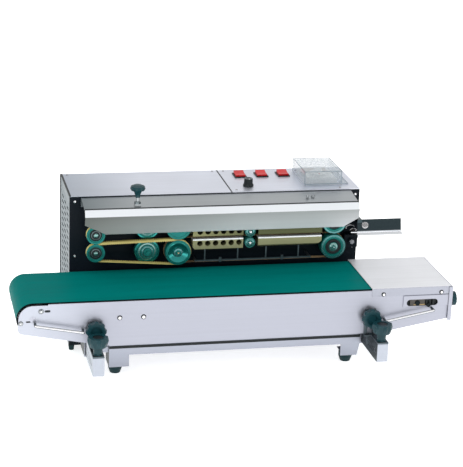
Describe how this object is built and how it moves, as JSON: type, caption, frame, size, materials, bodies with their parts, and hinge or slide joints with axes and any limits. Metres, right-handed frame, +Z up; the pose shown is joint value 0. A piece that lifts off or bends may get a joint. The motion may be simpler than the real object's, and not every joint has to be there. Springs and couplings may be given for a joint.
{
  "type": "continuous band sealer",
  "caption": "Bench-top continuous band sealer: a boxed sealing head with wheels, bands and heating blocks over an adjustable powered belt conveyor.",
  "frame": {"origin": "centre of the bounding box at floor level", "axes": "+X along the conveyor towards the end where bags enter, +Y from the operator's side to the rear, +Z up"},
  "size_m": [0.8536, 0.403, 0.3554],
  "materials": {
    "stainless": "brushed stainless sheet",
    "black_paint": "satin enamel",
    "grey_paint": "satin enamel",
    "rubber": "matt",
    "belt_green": "matt",
    "wheel_green": "satin enamel",
    "roller_steel": "brushed stainless sheet",
    "roller_rubber": "matt",
    "block_brass": "machined",
    "belt_yellow": "matt",
    "band_tan": "woven, smooth coating",
    "knob_black": "matt moulded",
    "red_plastic": "gloss moulded",
    "black_plastic": "gloss moulded",
    "cream_plastic": "matt moulded",
    "clear": "clear moulded plastic",
    "chrome": "polished",
    "brass": "machined",
    "motor_grey": "satin enamel",
    "gear_steel": "brushed stainless sheet",
    "fan_black": "matt moulded"
  },
  "bodies": {
    "machine": {"base_tray": "stainless", "rubber_feet": "rubber", "head_chassis": "black_paint", "end_panels": "grey_paint", "head_cover": "stainless", "ledge": "stainless", "front_guard": "stainless", "control_panel": "stainless", "switch_bezels": "black_plastic", "temperature_controller": "cream_plastic", "gear_motor": "motor_grey", "rear_fan": "fan_black", "power_inlet": "black_plastic", "cooling_block_lower": "block_brass", "cooling_block_upper": "block_brass", "heating_block_lower": "block_brass", "heating_block_upper": "block_brass", "block_support": "roller_steel", "guide_belt_lower": "belt_yellow", "guide_belt_upper": "belt_yellow", "sealing_band_lower": "band_tan", "sealing_band_upper": "band_tan", "bag_guide": "chrome"},
    "carriage": {"rails": "stainless", "brackets": "stainless"},
    "conveyor": {"conveyor_frame": "stainless", "conveyor_belt": "belt_green", "takeup_blocks": "brass", "end_cover": "stainless", "end_plate": "stainless", "conveyor_motor": "motor_grey", "conveyor_fittings": "chrome"},
    "rocker_1": {"rocker_1": "red_plastic"},
    "rocker_2": {"rocker_2": "red_plastic"},
    "rocker_3": {"rocker_3": "red_plastic"},
    "speed_knob": {"speed_knob": "black_plastic"},
    "controller_dial": {"controller_dial": "cream_plastic"},
    "clear_cover": {"clear_cover": "clear"},
    "pressure_knob": {"pressure_knob": "knob_black"},
    "motor_pinion": {"motor_pinion": "gear_steel"},
    "fan_rotor": {"fan_rotor": "fan_black"},
    "drive_wheel_lower": {"drive_wheel_lower": "wheel_green"},
    "drive_wheel_upper": {"drive_wheel_upper": "wheel_green"},
    "idler_wheel_lower": {"idler_wheel_lower": "wheel_green"},
    "idler_wheel_upper": {"idler_wheel_upper": "wheel_green"},
    "emboss_wheel_lower": {"emboss_wheel_lower": "wheel_green"},
    "emboss_wheel_upper": {"emboss_wheel_upper": "wheel_green"},
    "guide_wheel_lower": {"guide_wheel_lower": "wheel_green"},
    "guide_wheel_upper": {"guide_wheel_upper": "wheel_green"},
    "pinch_roller_lower": {"pinch_roller_lower": "roller_rubber"},
    "pinch_roller_upper": {"pinch_roller_upper": "roller_rubber"},
    "nose_roller": {"nose_roller": "roller_steel"},
    "tail_roller": {"tail_roller": "roller_steel"},
    "tension_knob_near": {"tension_knob_near": "knob_black"},
    "tension_knob_far": {"tension_knob_far": "knob_black"},
    "conveyor_pinion": {"conveyor_pinion": "gear_steel"},
    "clamp_knob_left": {"clamp_knob_left": "knob_black"},
    "clamp_knob_right": {"clamp_knob_right": "knob_black"},
    "height_knob_left": {"height_knob_left": "knob_black"},
    "height_knob_right": {"height_knob_right": "knob_black"}
  },
  "joints": [
    {"name": "conveyor_reach", "type": "slide", "parent": "machine", "child": "carriage", "axis": [0, 1, 0], "range_m": [-0.05, 0.008]},
    {"name": "conveyor_height", "type": "slide", "parent": "carriage", "child": "conveyor", "axis": [0, 0, 1], "range_m": [-0.0025, 0.008]},
    {"name": "nose_spin", "type": "hinge", "parent": "conveyor", "child": "nose_roller", "pos_m": [-0.39625, -0.064, 0.1457], "axis": [0, 1, 0], "continuous": true},
    {"name": "tail_spin", "type": "hinge", "parent": "conveyor", "child": "tail_roller", "pos_m": [0.34575, -0.064, 0.1457], "axis": [0, 1, 0], "continuous": true},
    {"name": "conveyor_pinion_spin", "type": "hinge", "parent": "conveyor", "child": "conveyor_pinion", "pos_m": [-0.36025, -0.124, 0.1457], "axis": [0, 1, 0], "continuous": true},
    {"name": "tension_near_turn", "type": "hinge", "parent": "conveyor", "child": "tension_knob_near", "pos_m": [0.42175, -0.13, 0.1465], "axis": [1, 0, 0], "range_deg": [-360, 360]},
    {"name": "tension_far_turn", "type": "hinge", "parent": "conveyor", "child": "tension_knob_far", "pos_m": [0.42175, 0.011, 0.1465], "axis": [1, 0, 0], "range_deg": [-360, 360]},
    {"name": "clamp_left_turn", "type": "hinge", "parent": "carriage", "child": "clamp_knob_left", "pos_m": [-0.28075, -0.1815, 0.11], "axis": [0, 0, 1], "range_deg": [0, 720]},
    {"name": "clamp_right_turn", "type": "hinge", "parent": "carriage", "child": "clamp_knob_right", "pos_m": [0.26525, -0.1815, 0.11], "axis": [0, 0, 1], "range_deg": [0, 720]},
    {"name": "height_clamp_left_turn", "type": "hinge", "parent": "conveyor", "child": "height_knob_left", "pos_m": [-0.28075, -0.155, 0.1215], "axis": [0, 1, 0], "range_deg": [0, 720]},
    {"name": "height_clamp_right_turn", "type": "hinge", "parent": "conveyor", "child": "height_knob_right", "pos_m": [0.25175, -0.155, 0.1215], "axis": [0, 1, 0], "range_deg": [0, 720]},
    {"name": "drive_spin", "type": "hinge", "parent": "machine", "child": "drive_wheel_lower", "pos_m": [-0.10025, 0.016, 0.215], "axis": [0, 1, 0], "continuous": true},
    {"name": "drive_upper_spin", "type": "hinge", "parent": "machine", "child": "drive_wheel_upper", "pos_m": [-0.10025, 0.016, 0.267], "axis": [0, 1, 0], "continuous": true},
    {"name": "idler_lower_spin", "type": "hinge", "parent": "machine", "child": "idler_wheel_lower", "pos_m": [0.21375, 0.016, 0.215], "axis": [0, 1, 0], "continuous": true},
    {"name": "idler_upper_spin", "type": "hinge", "parent": "machine", "child": "idler_wheel_upper", "pos_m": [0.21375, 0.016, 0.267], "axis": [0, 1, 0], "continuous": true},
    {"name": "emboss_lower_spin", "type": "hinge", "parent": "machine", "child": "emboss_wheel_lower", "pos_m": [-0.15975, 0.016, 0.2162], "axis": [0, 1, 0], "continuous": true},
    {"name": "emboss_upper_spin", "type": "hinge", "parent": "machine", "child": "emboss_wheel_upper", "pos_m": [-0.15975, 0.016, 0.2658], "axis": [0, 1, 0], "continuous": true},
    {"name": "guide_lower_spin", "type": "hinge", "parent": "machine", "child": "guide_wheel_lower", "pos_m": [-0.26175, 0.016, 0.2196], "axis": [0, 1, 0], "continuous": true},
    {"name": "guide_upper_spin", "type": "hinge", "parent": "machine", "child": "guide_wheel_upper", "pos_m": [-0.26175, 0.016, 0.256], "axis": [0, 1, 0], "continuous": true},
    {"name": "pinch_lower_spin", "type": "hinge", "parent": "machine", "child": "pinch_roller_lower", "pos_m": [0.04315, 0.016, 0.2296], "axis": [0, 1, 0], "continuous": true},
    {"name": "pinch_upper_spin", "type": "hinge", "parent": "machine", "child": "pinch_roller_upper", "pos_m": [0.04315, 0.016, 0.2524], "axis": [0, 1, 0], "continuous": true},
    {"name": "motor_pinion_spin", "type": "hinge", "parent": "machine", "child": "motor_pinion", "pos_m": [-0.10025, 0.056, 0.176], "axis": [0, 1, 0], "continuous": true},
    {"name": "fan_spin", "type": "hinge", "parent": "machine", "child": "fan_rotor", "pos_m": [0.13175, 0.184, 0.15], "axis": [0, 1, 0], "continuous": true},
    {"name": "rocker_1_tilt", "type": "hinge", "parent": "machine", "child": "rocker_1", "pos_m": [0.05175, 0.155, 0.3215], "axis": [1, 0, 0], "range_deg": [-16, 0]},
    {"name": "rocker_2_tilt", "type": "hinge", "parent": "machine", "child": "rocker_2", "pos_m": [0.09675, 0.155, 0.3215], "axis": [1, 0, 0], "range_deg": [-16, 0]},
    {"name": "rocker_3_tilt", "type": "hinge", "parent": "machine", "child": "rocker_3", "pos_m": [0.14175, 0.155, 0.3215], "axis": [1, 0, 0], "range_deg": [-16, 0]},
    {"name": "speed_turn", "type": "hinge", "parent": "machine", "child": "speed_knob", "pos_m": [0.05375, 0.082, 0.33], "axis": [0, 0, -1], "range_deg": [0, 280]},
    {"name": "dial_turn", "type": "hinge", "parent": "machine", "child": "controller_dial", "pos_m": [0.20575, 0.118, 0.338], "axis": [0, 0, -1], "range_deg": [0, 300]},
    {"name": "clear_cover_lift", "type": "hinge", "parent": "machine", "child": "clear_cover", "pos_m": [0.20575, 0.1775, 0.3242], "axis": [-1, 0, 0], "range_deg": [0, 95]},
    {"name": "pressure_turn", "type": "hinge", "parent": "machine", "child": "pressure_knob", "pos_m": [-0.18175, 0.002, 0.345], "axis": [0, 0, 1], "range_deg": [-720, 720]}
  ],
  "couplings": [
    {"joint": "drive_upper_spin", "follows": "drive_spin", "ratio": -1},
    {"joint": "idler_lower_spin", "follows": "drive_spin", "ratio": 1},
    {"joint": "idler_upper_spin", "follows": "drive_spin", "ratio": -1},
    {"joint": "emboss_lower_spin", "follows": "drive_spin", "ratio": 1.0246},
    {"joint": "emboss_upper_spin", "follows": "drive_spin", "ratio": -1.0246},
    {"joint": "guide_lower_spin", "follows": "drive_spin", "ratio": 1.4699},
    {"joint": "guide_upper_spin", "follows": "drive_spin", "ratio": -1.4699},
    {"joint": "pinch_lower_spin", "follows": "drive_spin", "ratio": 2.4038},
    {"joint": "pinch_upper_spin", "follows": "drive_spin", "ratio": -2.4038},
    {"joint": "motor_pinion_spin", "follows": "drive_spin", "ratio": -2},
    {"joint": "tail_spin", "follows": "nose_spin", "ratio": 1},
    {"joint": "conveyor_pinion_spin", "follows": "nose_spin", "ratio": -2}
  ]
}
